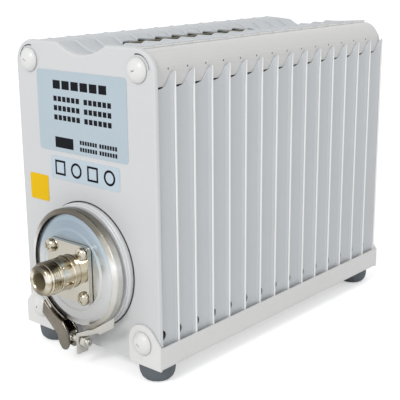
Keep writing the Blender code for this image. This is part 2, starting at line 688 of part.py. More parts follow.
def foot_screw_shape():
    seat = -FOOT_HEIGHT + FOOT_RECESS_DEPTH - CLEARANCE
    head = seat - FOOT_SCREW_HEAD_HEIGHT
    end = PAN_BOTTOM - CLEARANCE
    r = FOOT_SCREW_RADIUS
    rim = FOOT_SCREW_HEAD_RADIUS
    bevel = FOOT_SCREW_HEAD_HEIGHT / 2
    profile = [(0, head), (rim - bevel, head), (rim, head + bevel), (rim, seat)]
    profile += [(r, seat), (r, end), (0, end)]
    return turn_upright(turned(profile, 12))


def build_feet():
    foot = bpy.data.meshes.new("foot")
    shape = foot_shape()
    shape.to_mesh(foot)
    shape.free()
    screw = bpy.data.meshes.new("foot_screw")
    shape = foot_screw_shape()
    shape.to_mesh(screw)
    shape.free()
    for number, (x, y) in enumerate(foot_places(), 1):
        smooth(place(f"foot_{number}", foot, RUBBER, (x, y, 0)))
        smooth(place(f"foot_screw_{number}", screw, ZINC, (x, y, 0)))


def build_rods():
    """Tie rods with domed, slotted heads, and the nuts behind the stack."""
    for number, (x, height) in enumerate(rod_places(), 1):
        carrier = EAR_FRONT if height == ROD_LOW else 0
        seat = carrier - CLEARANCE
        rim = seat - HEAD_RISE * 0.3
        profile = [(0, seat - HEAD_RISE)]
        for i in range(1, 5):
            a = math.radians(90 * i / 4)
            profile.append((HEAD_RADIUS * math.sin(a), rim - HEAD_RISE * 0.7 * math.cos(a)))
        profile += [(HEAD_RADIUS, seat), (ROD_RADIUS, seat), (ROD_RADIUS, ROD_END), (0, ROD_END)]
        rod = place(f"tie_rod_{number}", turned(profile, 20, height, x), PAINT)
        slot = []
        for sx, sz in ((1, -1), (1, 1), (-1, 1), (-1, -1)):
            slot.append((x + sx * HEAD_SLOT_WIDTH / 2, height + sz * HEAD_SLOT_LENGTH / 2))
        cut = seat - HEAD_RISE + HEAD_SLOT_DEPTH
        combine(rod, tool(f"head_slot_{number}", prism(slot, seat - 2 * HEAD_RISE, cut)), "DIFFERENCE")
        smooth(rod)
        back = (EAR_REAR if height == ROD_LOW else REAR_FACE) + CLEARANCE
        bore = (ROD_RADIUS + CLEARANCE) / math.cos(math.pi / 6)
        nut = [(bore, back), (NUT_RADIUS, back), (NUT_RADIUS, back + NUT_HEIGHT), (bore, back + NUT_HEIGHT)]
        place(f"rod_nut_{number}", turned(nut, 6, height, x), ZINC)


def build_tank():
    inner = TANK_RADIUS - TANK_WALL
    shell = [
        (inner, TANK_LENGTH),
        (TANK_RADIUS, TANK_LENGTH),
        (TANK_RADIUS, RING_BACK),
        (RING_RADIUS, RING_BACK),
        (RING_RADIUS, STEP_BACK + RING_BEVEL),
        (RING_RADIUS - RING_BEVEL, STEP_BACK),
        (RING_RADIUS - RING_STEP, STEP_BACK),
        (RING_RADIUS - RING_STEP, STEP_FRONT + RING_BEVEL),
        (RING_RADIUS - RING_STEP - RING_BEVEL, STEP_FRONT),
        (GROOVE_RADIUS, STEP_FRONT),
        (GROOVE_RADIUS, LIP_BACK),
        (TANK_LIP_RADIUS, LIP_BACK),
        (TANK_LIP_RADIUS, LIP_FRONT),
        (inner, LIP_FRONT),
    ]
    smooth(place("tank_shell", turned(shell, 48, TANK_HEIGHT), RING_PAINT))
    cap = inner - CLEARANCE
    back = TANK_LENGTH - CAP_SETBACK
    front = back - CAP_DEPTH
    inside = cap - CAP_SHEET
    dish = [
        (0, front),
        (cap - CAP_RIM, front),
        (cap, front + CAP_RIM),
        (cap, back),
        (inside, back),
        (inside, front + CAP_RIM),
        (inside - CAP_RIM + CAP_SHEET / 2, front + CAP_SHEET),
        (0, front + CAP_SHEET),
    ]
    smooth(place("tank_cap", turned(dish, 24, TANK_HEIGHT), RING_PAINT))
    outer = TANK_LIP_RADIUS - CLEARANCE
    inner = outer - SEAL_WIDTH
    front = SEAL_BACK - SEAL_THICKNESS
    seal = [(outer, SEAL_BACK), (inner, SEAL_BACK), (inner, front), (outer, front)]
    smooth(place("seal_ring", turned(seal, 24, TANK_HEIGHT), SEAL))


def build_resistor():
    """The front disc with its spigot, the tapered housing behind it, and the resistor inside that."""
    bore = CONTACT_RADIUS + CORE_GAP
    spigot = TANK_RADIUS - TANK_WALL - CLEARANCE
    spigot_end = DISC_BACK + DISC_SPIGOT_DEPTH
    disc = [
        (bore, DISC_FACE),
        (DISC_FACE_RADIUS - DISC_FACE_RISE, DISC_FACE),
        (DISC_FACE_RADIUS, DISC_FRONT),
        (TANK_LIP_RADIUS - CLEARANCE, DISC_FRONT),
        (TANK_LIP_RADIUS - CLEARANCE, DISC_BACK),
        (spigot, DISC_BACK),
        (spigot, spigot_end),
        (bore, spigot_end),
    ]
    smooth(place("front_disc", turned(disc, 48, TANK_HEIGHT), ALUMINIUM))
    front = spigot_end + CLEARANCE
    end = HORN_END
    horn = [
        (0, end),
        (HORN_REAR_RADIUS, end),
        (HORN_FRONT_RADIUS, front),
        (HORN_FRONT_RADIUS - HORN_WALL, front),
        (HORN_REAR_RADIUS - HORN_WALL, end - HORN_WALL),
        (0, end - HORN_WALL),
    ]
    smooth(place("resistor_housing", turned(horn, 20, TANK_HEIGHT), ALUMINIUM))
    back = end - HORN_WALL - CLEARANCE
    film_start = front + RESISTOR_SETBACK
    film = [(0, film_start), (RESISTOR_RADIUS, film_start), (RESISTOR_RADIUS, back), (0, back)]
    smooth(place("resistor", turned(film, 12, TANK_HEIGHT), CERAMIC))
    link_start = MOUTH + BEAD_RECESS + BEAD_LENGTH + CLEARANCE
    link_end = film_start - CLEARANCE
    link = [(0, link_start), (CONTACT_RADIUS, link_start), (CONTACT_RADIUS, link_end), (0, link_end)]
    smooth(place("inner_conductor", turned(link, 12, TANK_HEIGHT), NICKEL))


def band_section():
    """Section of the clamp band as (radius, y) points: a flat crown, and legs that slope outwards over the
    edges of the tank lip and the front disc."""
    crown = (LIP_BACK - DISC_FRONT) / 2 + CLEARANCE * 0.6
    foot = crown + BAND_LEG_SPREAD
    inner = BAND_RADIUS - BAND_SHEET
    outside = crown + BAND_SHEET * 0.4
    leg = foot + BAND_SHEET
    low = BAND_FOOT_RADIUS
    points = [(low, -leg), (BAND_RADIUS, -outside), (BAND_RADIUS, outside), (low, leg)]
    points += [(low, foot), (inner, crown), (inner, -crown), (low, -foot)]
    return [(r, BAND_MIDDLE + y) for r, y in points]


def from_band(points):
    """Points given from the lowest point of the band, as places in the XZ plane."""
    return [(x, TANK_HEIGHT - BAND_RADIUS + z) for x, z in points]


def band_arc(start, end, steps):
    """Points in the middle of the band's crown."""
    return arc(0, TANK_HEIGHT, BAND_RADIUS - BAND_SHEET / 2, start, end, steps)


def build_clamp():
    """The band is open at the bottom. A channel on its left end carries the trunnion of the cross screw,
    and an angle on its right end takes the nut. A tab stands out beside the angle."""
    shape = bmesh.new()
    start = math.radians(-90 + BAND_GAP_ANGLE)
    sweep = math.tau - 2 * math.radians(BAND_GAP_ANGLE)
    points = [shape.verts.new((r * math.cos(start), y, r * math.sin(start))) for r, y in band_section()]
    face = shape.faces.new(points)
    # A turn about +Y runs clockwise in the XZ plane, so the sweep is negative.
    bmesh.ops.spin(shape, geom=[face], cent=(0, 0, 0), axis=(0, 1, 0), angle=-sweep, steps=48)
    bmesh.ops.recalc_face_normals(shape, faces=shape.faces)
    bmesh.ops.translate(shape, verts=shape.verts, vec=(0, 0, TANK_HEIGHT))
    band = place("clamp_band", shape, POLISHED_STEEL)
    front = BAND_MIDDLE - BAND_HALF_WIDTH - BAND_SHEET
    back = BAND_MIDDLE + BAND_HALF_WIDTH
    strap = band_arc(-90 - STRAP_SPAN, -90 - BAND_GAP_ANGLE, 8)
    strap += from_band(LUG_LEFT)
    web = from_band(LUG_WEB)
    angle = band_arc(-90 + ANGLE_SPAN, -90 + BAND_GAP_ANGLE, 5) + from_band(LUG_RIGHT)
    tab = band_arc(-90 + ANGLE_SPAN - TAB_SPREAD, -90 + ANGLE_SPAN + TAB_SPREAD, 2) + from_band(TAB_OUTLINE)
    pieces = [
        prism(strap, front, front + LUG_SHEET),
        prism(strap, back - LUG_SHEET, back),
        prism(web, front + CHEEK_OVERLAP, back - CHEEK_OVERLAP),
        prism(angle, front + CHEEK_OVERLAP, back - CHEEK_OVERLAP),
        prism(tab, front - CHEEK_OVERLAP, front + LUG_SHEET),
    ]
    for number, piece in enumerate(pieces):
        combine(band, tool(f"clamp_piece_{number}", piece), "UNION")
    start = TRUNNION_X - TRUNNION_RADIUS
    end = LUG_RIGHT_FACE + CLAMP_NUT_LENGTH
    way = rod_along_x(CLAMP_SCREW_RADIUS + CLEARANCE, start, end, 12, BAND_MIDDLE, CLAMP_SCREW_HEIGHT)
    combine(band, tool("clamp_way", way), "DIFFERENCE")
    smooth(band, 30)
    build_clamp_screw(front, back)


def rod_along_x(radius, start, end, steps, y, z):
    shape = rod_along_y(radius, start, end, steps, 0, 0)
    for vert in shape.verts:
        vx, vy, vz = vert.co
        vert.co = (vy, -vx, vz)
    bmesh.ops.translate(shape, verts=shape.verts, vec=(0, y, z))
    return shape


def build_clamp_screw(front, back):
    """The screw ends in a trunnion between the cheeks of the left channel, and its nut bears on the angle."""
    bearing = LUG_RIGHT_FACE + CLEARANCE
    height = CLAMP_SCREW_HEIGHT
    end = bearing + CLAMP_NUT_LENGTH + CLAMP_SCREW_STANDOUT
    shank = rod_along_x(CLAMP_SCREW_RADIUS, TRUNNION_X, end, 12, BAND_MIDDLE, height)
    screw = place("clamp_screw", shank, ZINC)
    start = front + LUG_SHEET + CLEARANCE
    end = back - LUG_SHEET - CLEARANCE
    barrel = rod_along_y(TRUNNION_RADIUS, start, end, 16, TRUNNION_X, height)
    combine(screw, tool("trunnion", barrel), "UNION")
    smooth(screw)
    profile = [
        (CLAMP_SCREW_RADIUS + CLEARANCE / 2, 0),
        (CLAMP_NUT_RADIUS, 0),
        (CLAMP_NUT_RADIUS, CLAMP_NUT_LENGTH - NUT_BEVEL),
        (CLAMP_NUT_RADIUS - NUT_BEVEL, CLAMP_NUT_LENGTH),
        (CLAMP_SCREW_RADIUS + CLEARANCE / 2, CLAMP_NUT_LENGTH),
    ]
    nut = turned(profile, 12)
    for vert in nut.verts:
        vx, vy, vz = vert.co
        vert.co = (bearing + vy, BAND_MIDDLE - vx, height + vz)
    smooth(place("clamp_nut", nut, ZINC), 25)


def build_connector():
    flange = FLANGE_HALF
    r = FLANGE_CORNER
    outline = []
    for cx, cz, a in ((1, 1, 0), (-1, 1, 90), (-1, -1, 180), (1, -1, 270)):
        outline += arc(cx * (flange - r), TANK_HEIGHT + cz * (flange - r), r, a, a + 90, 3)
    body = place("connector_body", prism(outline, FLANGE_BACK, FLANGE_FRONT), NICKEL)
    shoulder_end = FLANGE_FRONT - SHOULDER_LENGTH
    neck_end = shoulder_end - NECK_LENGTH
    root = FLANGE_BACK - BARREL_SINK
    barrel = [
        (0, root),
        (SHOULDER_RADIUS, root),
        (SHOULDER_RADIUS, shoulder_end + BARREL_BEVEL),
        (SHOULDER_RADIUS - BARREL_BEVEL, shoulder_end),
        (NECK_RADIUS, shoulder_end),
        (NECK_RADIUS, neck_end),
        (NECK_RADIUS - GROOVE_DEPTH, neck_end),
        (NECK_RADIUS - GROOVE_DEPTH, neck_end - GROOVE_WIDTH),
        (THREAD_RADIUS, neck_end - GROOVE_WIDTH),
        (THREAD_RADIUS, MOUTH + MOUTH_CHAMFER),
        (THREAD_RADIUS - MOUTH_CHAMFER, MOUTH),
        (0, MOUTH),
    ]
    combine(body, tool("barrel", turned(barrel, 32, TANK_HEIGHT)), "UNION")
    bead_back = MOUTH + BEAD_RECESS + BEAD_LENGTH
    core = CONTACT_RADIUS + CORE_GAP
    ways = [
        (0, MOUTH - BORE_RADIUS),
        (BORE_RADIUS, MOUTH - BORE_RADIUS),
        (BORE_RADIUS, bead_back),
        (core, bead_back),
        (core, FLANGE_BACK + FLANGE_THICKNESS),
        (0, FLANGE_BACK + FLANGE_THICKNESS),
    ]
    combine(body, tool("connector_bore", turned(ways, 24, TANK_HEIGHT)), "DIFFERENCE")
    places = []
    for sz in (-1, 1):
        for sx in (-1, 1):
            places.append((sx * CONNECTOR_SCREW_PLACE, TANK_HEIGHT + sz * CONNECTOR_SCREW_PLACE))
    hole = CONNECTOR_SHANK_RADIUS + CLEARANCE
    through = FLANGE_BACK + FLANGE_THICKNESS
    clear = [rod_along_y(hole, FLANGE_FRONT - FLANGE_THICKNESS, through, 10, x, z) for x, z in places]
    combine(body, tool("flange_holes", join_shapes(clear)), "DIFFERENCE")
    smooth(body)
    end = DISC_BACK + CONNECTOR_SCREW_REACH
    taps = [rod_along_y(hole, FLANGE_FRONT, end + CLEARANCE, 10, x, z) for x, z in places]
    combine(bpy.data.objects["front_disc"], tool("disc_taps", join_shapes(taps)), "DIFFERENCE")
    seat = FLANGE_FRONT - CLEARANCE
    top = seat - CONNECTOR_SCREW_RISE
    big = CONNECTOR_SCREW_RADIUS
    shank = CONNECTOR_SHANK_RADIUS
    for number, (x, z) in enumerate(places, 1):
        head = [(0, top)]
        for i in (1, 2, 3):
            a = math.radians(30 * i)
            head.append((big * math.sin(a), top + CONNECTOR_SCREW_DOME * (1 - math.cos(a))))
        head += [(big, seat), (shank, seat), (shank, end), (0, end)]
        screw = place(f"connector_screw_{number}", turned(head, 16, z, x), NICKEL)
        slot = []
        for sx, sz in ((-1, -1), (1, -1), (1, 1), (-1, 1)):
            slot.append((x + sx * CONNECTOR_SLOT_WIDTH / 2, z + sz * (big + CLEARANCE)))
        cut = prism(slot, top - CONNECTOR_SCREW_RISE, top + CONNECTOR_SLOT_DEPTH)
        combine(screw, tool(f"screw_slot_{number}", cut), "DIFFERENCE")
        smooth(screw)
    bead_start = MOUTH + BEAD_RECESS
    hold = CONTACT_RADIUS + CLEARANCE / 3
    bead = [
        (hold, bead_start),
        (BORE_RADIUS - CLEARANCE, bead_start),
        (BORE_RADIUS - CLEARANCE, bead_back - CLEARANCE),
        (hold, bead_back - CLEARANCE),
    ]
    smooth(place("insulator_bead", turned(bead, 16, TANK_HEIGHT), BEAD))
    tip = MOUTH + CONTACT_RECESS
    contact = [(0, tip), (CONTACT_RADIUS - BARREL_BEVEL, tip), (CONTACT_RADIUS, tip + BARREL_BEVEL)]
    contact += [(CONTACT_RADIUS, bead_back), (0, bead_back)]
    smooth(place("centre_contact", turned(contact, 12, TANK_HEIGHT), NICKEL))


build_stack()
build_rails()
build_tray()
build_feet()
build_rods()
build_tank()
build_resistor()
build_clamp()
build_connector()
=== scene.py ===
import math

import bpy
from mathutils import Matrix, Vector


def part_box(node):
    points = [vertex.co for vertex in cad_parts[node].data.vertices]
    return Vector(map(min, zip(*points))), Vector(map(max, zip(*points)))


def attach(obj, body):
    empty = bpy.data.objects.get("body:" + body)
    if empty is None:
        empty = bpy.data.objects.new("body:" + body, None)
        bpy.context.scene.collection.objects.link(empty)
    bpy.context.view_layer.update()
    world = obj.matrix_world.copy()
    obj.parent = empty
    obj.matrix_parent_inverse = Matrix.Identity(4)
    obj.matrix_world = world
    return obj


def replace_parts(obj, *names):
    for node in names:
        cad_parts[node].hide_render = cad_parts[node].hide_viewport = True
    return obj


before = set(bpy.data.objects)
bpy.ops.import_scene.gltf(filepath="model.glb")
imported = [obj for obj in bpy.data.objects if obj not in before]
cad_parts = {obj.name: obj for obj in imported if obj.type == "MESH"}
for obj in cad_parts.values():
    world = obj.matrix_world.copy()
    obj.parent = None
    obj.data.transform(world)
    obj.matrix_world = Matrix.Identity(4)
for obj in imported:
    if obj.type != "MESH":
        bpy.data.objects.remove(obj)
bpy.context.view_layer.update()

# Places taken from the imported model, so that every added piece sits on what carries it.
PLATE_RISE = 0.0002    # how far the front plate's lower edge stands above the body's
PLATE_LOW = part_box("front_plate")[0]
PLATE_FACE = PLATE_LOW[1]
BODY_LOW = PLATE_LOW[2] - PLATE_RISE
TANK_LOW, TANK_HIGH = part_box("tank_shell")
AXIS_HEIGHT = (TANK_LOW[2] + TANK_HIGH[2]) / 2

# The tips of the pans' side flanges, in metres. Heights are above the body's lower edge.
TIP_START = 0.1275
TIP_LENGTH = 0.0123
TIP_REACH = 0.0438
EDGE_FOOT = 0.0016
TIP_CURVE = [(0.0, 0.0), (0.25, 0.0002), (0.47, 0.0008), (0.66, 0.0028), (0.82, 0.0056), (1.0, 0.0077)]

# Small places and thicknesses in metres: the seams' (x, height), the labels, and the height of the printed rings.
SEAM_PLACE = (0.0318, 0.1449)
LABEL_THICKNESS = 0.00018
INK_THICKNESS = 0.00005
RINGS_MIDDLE = 0.0856

# How strongly ink and the amber label reflect: a Specular IOR Level.
INK_SHEEN = 0.15

# The photograph's frame in pixels, and the camera's focal length in the same pixels.
PHOTO_WIDTH = 400
FOCAL_PIXELS = 904.64
SENSOR_WIDTH = 36
LAMP_AIM = (0, 0, 0.07)


class Signal:
    """A socket of a finish's nodes. Sums on it add Math nodes."""

    def __init__(self, finish, socket):
        self.finish = finish
        self.socket = socket

    def maths(self, operation, *values):
        return self.finish.node("ShaderNodeMath", {"operation": operation}, dict(enumerate(values)))

    def __add__(self, other):
        return self.maths("ADD", self, other)

    def __sub__(self, other):
        return self.maths("SUBTRACT", self, other)

    def __mul__(self, other):
        return self.maths("MULTIPLY", self, other)

    def __truediv__(self, other):
        return self.maths("DIVIDE", self, other)

    __radd__ = __add__

    def clipped(self):
        return self.maths("MINIMUM", self.maths("MAXIMUM", self, 0.0), 1.0)

    def root(self):
        return self.maths("SQRT", self)


class Finish:
    """A material of one Principled shader, whose nodes are written as sums on signals."""

    def __init__(self, name, colour, roughness, metallic=0.0):
        self.material = bpy.data.materials.new(name)
        self.material.use_nodes = True
        self.tree = self.material.node_tree
        self.shader = self.tree.nodes["Principled BSDF"]
        self.set("Base Color", (*colour, 1))
        self.set("Roughness", roughness)
        self.set("Metallic", metallic)

    def set(self, socket, value):
        if isinstance(value, Signal):
            self.tree.links.new(value.socket, self.shader.inputs[socket])
        else:
            self.shader.inputs[socket].default_value = value

    def node(self, kind, settings, values, output=0):
        made = self.tree.nodes.new(kind)
        for name, setting in settings.items():
            if name == "stops":
                self.stops(made.color_ramp, setting)
            else:
                setattr(made, name, setting)
        for name, value in values.items():
            if isinstance(value, Signal):
                self.tree.links.new(value.socket, made.inputs[name])
            else:
                made.inputs[name].default_value = value
        return Signal(self, made.outputs[output])

    @staticmethod
    def stops(ramp, stops):
        while len(ramp.elements) < len(stops):
            ramp.elements.new(0.5)
        for element, (place, colour) in zip(ramp.elements, stops):
            element.position = place
            element.color = (*colour, 1)

    def place(self, scale=(1, 1, 1), shift=(0, 0, 0)):
        spot = self.node("ShaderNodeTexCoord", {}, {}, "Object")
        return self.node("ShaderNodeMapping", {}, {"Vector": spot, "Scale": scale, "Location": shift})

    def axis(self, place, letter):
        return self.node("ShaderNodeSeparateXYZ", {}, {"Vector": place}, letter)

    def noise(self, place, scale, detail):
        return self.node("ShaderNodeTexNoise", {}, {"Vector": place, "Scale": scale, "Detail": detail}, "Fac")

    def rings(self, radius):
        """Fine turned rings, which follow the distance from an axis."""
        values = {"W": radius, "Scale": 2600, "Detail": 2}
        return self.node("ShaderNodeTexNoise", {"noise_dimensions": "1D"}, values, "Fac")

    def mix(self, share, low, high):
        values = {0: share, 6: low if isinstance(low, Signal) else (*low, 1)}
        values[7] = high if isinstance(high, Signal) else (*high, 1)
        return self.node("ShaderNodeMix", {"data_type": "RGBA"}, values, 2)

    def bump(self, height, distance, strength):
        values = {"Height": height, "Distance": distance, "Strength": strength}
        self.set("Normal", self.node("ShaderNodeBump", {}, values))


def shade(colour, factor):
    return tuple(min(1.0, c * factor) for c in colour)


def screen(red, green, blue):
    """A colour as it shows on the screen, from 0 to 255, as light."""
    made = []
    for value in (red, green, blue):
        value /= 255
        made.append(value / 12.92 if value <= 0.04045 else ((value + 0.055) / 1.055) ** 2.4)
    return tuple(made)


def grey_enamel(name, low, high, roughness=0.38):
    """Baked enamel on sheet: faint clouds of tone and an orange-peel skin."""
    finish = Finish(name, high, roughness)
    place = finish.place()
    cloud = finish.noise(place, 28, 3)
    peel = finish.noise(place, 1500, 2)
    finish.set("Base Color", finish.mix(cloud, low, high))
    finish.set("Roughness", roughness + cloud * 0.1)
    finish.bump(peel, 0.00002, 0.5)
    return finish.material


def white_enamel():
    finish = Finish("white_enamel", screen(212, 213, 214), 0.3)
    place = finish.place()
    cloud = finish.noise(place, 60, 3)
    finish.set("Base Color", finish.mix(cloud, screen(208, 210, 212), screen(216, 217, 218)))
    finish.set("Roughness", 0.24 + cloud * 0.12)
    finish.bump(finish.noise(place, 1200, 2), 0.00002, 0.4)
    return finish.material


def foot_rubber():
    finish = Finish("foot_rubber", screen(88, 95, 100), 0.6)
    place = finish.place()
    cloud = finish.noise(place, 160, 4)
    finish.set("Base Color", finish.mix(cloud, screen(78, 85, 90), screen(100, 107, 112)))
    finish.set("Roughness", 0.5 + cloud * 0.2)
    finish.bump(finish.noise(place, 2200, 2), 0.00004, 0.6)
    return finish.material


def liner_metal():
    finish = Finish("liner_metal", screen(128, 122, 106), 0.4, 0.3)
    place = finish.place()
    cloud = finish.noise(place, 40, 4)
    finish.set("Base Color", finish.mix(cloud, screen(110, 104, 90), screen(140, 134, 118)))
    finish.set("Roughness", 0.35 + cloud * 0.2)
    return finish.material


def bright_metal(name, dark, light, roughness, grain=(900, 60, 900)):
    """Plated or polished metal with fine drawn lines along one axis."""
    finish = Finish(name, light, roughness, 1.0)
    place = finish.place(grain)
    line = finish.noise(place, 1.0, 3)
    cloud = finish.noise(finish.place(), 90, 3)
    finish.set("Base Color", finish.mix(cloud, dark, light))
    finish.set("Roughness", roughness * 0.8 + line * (roughness * 0.5))
    finish.bump(line, 0.000006, 0.5)
    return finish.material


def turned_metal(name, dark, light, roughness, height):
    """Metal turned on a lathe about an axis along Y: fine rings round that axis."""
    finish = Finish(name, light, roughness, 1.0)
    place = finish.place(shift=(0, 0, -height))
    x = finish.axis(place, "X")
    z = finish.axis(place, "Z")
    radius = (x * x + z * z).root()
    ring = finish.rings(radius)
    cloud = finish.noise(place, 45, 3)
    finish.set("Base Color", finish.mix(cloud, dark, light))
    finish.set("Roughness", roughness * 0.8 + ring * (roughness * 0.5))
    finish.bump(ring, 0.000008, 0.5)
    return finish.material


def reflection_painted_metal(name, stops, roughness, height, streak=0.16):
    """Polished metal with reflections painted round an axis along Y: the stops are dark and bright bands of
    painted reflection that run from its lowest side to its top.
    """
    finish = Finish(name, stops[-1][1], roughness, 1.0)
    place = finish.place(shift=(0, 0, -height))
    x = finish.axis(place, "X")
    z = finish.axis(place, "Z")
    radius = (x * x + z * z).root()
    fog = finish.noise(place, 140, 3)
    rise = (z / radius) * 0.5 + 0.5 + (fog - 0.5) * streak
    # Painted reflection: a colour from the stops, by height round the axis.
    tone = finish.node("ShaderNodeValToRGB", {"stops": stops}, {"Fac": rise.clipped()})
    ring = finish.rings(radius)
    finish.set("Base Color", finish.mix(ring * 0.25, tone, screen(232, 228, 220)))
    finish.set("Roughness", roughness * 0.75 + fog * (roughness * 0.5))
    finish.bump(ring, 0.000006, 0.4)
    return finish.material


def ceramic():
    finish = Finish("ceramic", (0.3, 0.28, 0.26), 0.6)
    place = finish.place()
    finish.set("Base Color", finish.mix(finish.noise(place, 300, 3), (0.26, 0.24, 0.22), (0.34, 0.32, 0.3)))
    return finish.material


def bead_plastic():
    finish = Finish("bead_plastic", (0.8, 0.78, 0.72), 0.35)
    place = finish.place()
    finish.set("Base Color", finish.mix(finish.noise(place, 300, 3), (0.76, 0.74, 0.68), (0.84, 0.82, 0.77)))
    return finish.material


def label_sheet(name, colour, roughness=0.3):
    finish = Finish(name, colour, roughness)
    place = finish.place()
    cloud = finish.noise(place, 50, 3)
    finish.set("Base Color", finish.mix(cloud, shade(colour, 0.96), shade(colour, 1.04)))
    finish.set("Roughness", roughness * 0.85 + cloud * (roughness * 0.3))
    return finish.material


def dress(node, material):
    """Gives a node of the model a finish in every slot."""
    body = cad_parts[node]
    if not body.material_slots:
        body.data.materials.append(material)
    for slot in body.material_slots:
        slot.material = material


# Painted reflections of the polished metals, from the lowest side (0) to the top (1): dark where each mirrors
# dark surroundings, bright where it mirrors light.
BAND_REFLECTION_TONES = [
    (0.0, screen(128, 122, 112)),
    (0.14, screen(190, 186, 178)),
    (0.36, screen(222, 220, 214)),
    (0.5, screen(226, 224, 220)),
    (0.63, screen(252, 252, 250)),
    (0.76, screen(202, 198, 190)),
    (0.87, screen(116, 110, 98)),
    (1.0, screen(72, 66, 54)),
]
BARREL_REFLECTION_TONES = [
    (0.0, screen(118, 106, 84)),
    (0.12, screen(190, 180, 156)),
    (0.34, screen(222, 214, 194)),
    (0.48, screen(188, 176, 148)),
    (0.6, screen(250, 247, 240)),
    (0.78, screen(240, 234, 220)),
    (0.9, screen(130, 116, 86)),
    (1.0, screen(64, 54, 36)),
]
DISC_REFLECTION_TONES = [
    (0.0, screen(196, 197, 197)),
    (0.3, screen(214, 216, 217)),
    (0.55, screen(222, 225, 226)),
    (0.75, screen(178, 194, 206)),
    (1.0, screen(152, 172, 188)),
]

ENAMEL = grey_enamel("grey_enamel", screen(202, 204, 205), screen(208, 209, 209))
# A slightly darker, bluer copy of the grey enamel for the pans: painted shade.
SHADED_PAN_ENAMEL = grey_enamel("shaded_pan_enamel", screen(196, 200, 203), screen(203, 206, 209))
# A lighter copy of the grey enamel for the tray and the rod heads: painted light.
LIT_TRAY_ENAMEL = grey_enamel("lit_tray_enamel", screen(218, 218, 216), screen(224, 224, 222), 0.3)
# A glossier copy of the grey enamel for the rails and their seams, whose lighter colour is painted light.
LIT_RAIL_ENAMEL = grey_enamel("lit_rail_enamel", screen(207, 207, 205), screen(213, 213, 211), 0.2)
# Near-white enamel for the pans' rolled edges: a painted highlight.
HIGHLIGHT_EDGE_ENAMEL = grey_enamel("painted_highlight_enamel", screen(240, 240, 239), screen(246, 246, 245), 0.25)
WHITE = white_enamel()
RUBBER = foot_rubber()
LINER = liner_metal()
NICKEL = turned_metal("warm_nickel", screen(192, 186, 172), screen(224, 219, 207), 0.1, AXIS_HEIGHT)
# The barrel and the clamp's band carry painted reflections round the tank's axis.
BARREL = reflection_painted_metal("barrel_nickel", BARREL_REFLECTION_TONES, 0.14, AXIS_HEIGHT)
POLISHED = reflection_painted_metal("polished_band", BAND_REFLECTION_TONES, 0.16, AXIS_HEIGHT)
# A darker copy of the clamp steel for the cheeks and web: painted shade.
SHADED_CLAMP_STEEL = bright_metal("shaded_clamp_steel", screen(108, 102, 92), screen(160, 153, 142), 0.2)
STEEL = bright_metal("clamp_steel", screen(196, 193, 186), screen(226, 224, 218), 0.2)
# The turned disc carries painted reflections too, bluish towards its top.
TURNED = reflection_painted_metal("turned_disc", DISC_REFLECTION_TONES, 0.3, AXIS_HEIGHT, 0.05)
SCREW_METAL = bright_metal("screw_nickel", screen(176, 168, 150), screen(232, 226, 210), 0.12)
# A dark brown for the sleeve in the connector's bore: painted shade.
BORE_SHADE = label_sheet("painted_bore_shade", screen(130, 119, 94), 0.5)
ZINC = bright_metal("zinc_plate", screen(196, 194, 186), screen(226, 224, 216), 0.24)
# Black for the seal ring, and for the thin ring that paints the shadow at the tank's collar.
DARK_SEAL_AND_SHADOW = label_sheet("dark_seal_and_shadow", (0.035, 0.035, 0.035), 0.6)
CERAMIC = ceramic()
BEAD = bead_plastic()

# Which finish a node has, by the start of its name. The longest start that fits counts.
FINISHES = {
    "fin_": SHADED_PAN_ENAMEL,
    "front_plate": ENAMEL,
    "rear_plate": ENAMEL,
    "rail_": LIT_RAIL_ENAMEL,
    "base_tray": LIT_TRAY_ENAMEL,
    "tie_rod_": ENAMEL,
    "rod_nut_": ZINC,
    "slot_liner": LINER,
    "tank_": WHITE,
    "seal_ring": DARK_SEAL_AND_SHADOW,
    "front_disc": TURNED,
    "resistor_housing": TURNED,
    "resistor": CERAMIC,
    "inner_conductor": NICKEL,
    "clamp_band": POLISHED,
    "clamp_screw": ZINC,
    "clamp_nut": ZINC,
    "connector_": NICKEL,
    "insulator_bead": BEAD,
    "centre_contact": NICKEL,
    "foot_screw_": ZINC,
    "foot_": RUBBER,
}
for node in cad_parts:
    dress(node, FINISHES[max((key for key in FINISHES if node.startswith(key)), key=len)])


def start_fresh():
    if bpy.context.object and bpy.context.object.mode != "OBJECT":
        bpy.ops.object.mode_set(mode="OBJECT")
    bpy.ops.object.select_all(action="DESELECT")


def pick(piece):
    """Makes a piece the only one that is selected, and the active one."""
    start_fresh()
    piece.select_set(True)
    bpy.context.view_layer.objects.active = piece


def settle(piece):
    """Puts a finished piece's place into its mesh."""
    pick(piece)
    bpy.ops.object.transform_apply(location=True, rotation=True, scale=True)


def draw_out(*moves):
    """Draws all faces of the active piece out, by each move in turn."""
    bpy.ops.object.mode_set(mode="EDIT")
    bpy.ops.mesh.select_all(action="SELECT")
    for move in moves:
        bpy.ops.mesh.extrude_region_move(TRANSFORM_OT_translate={"value": move})
    bpy.ops.mesh.select_all(action="SELECT")
    bpy.ops.mesh.normals_make_consistent(inside=False)
    bpy.ops.object.mode_set(mode="OBJECT")


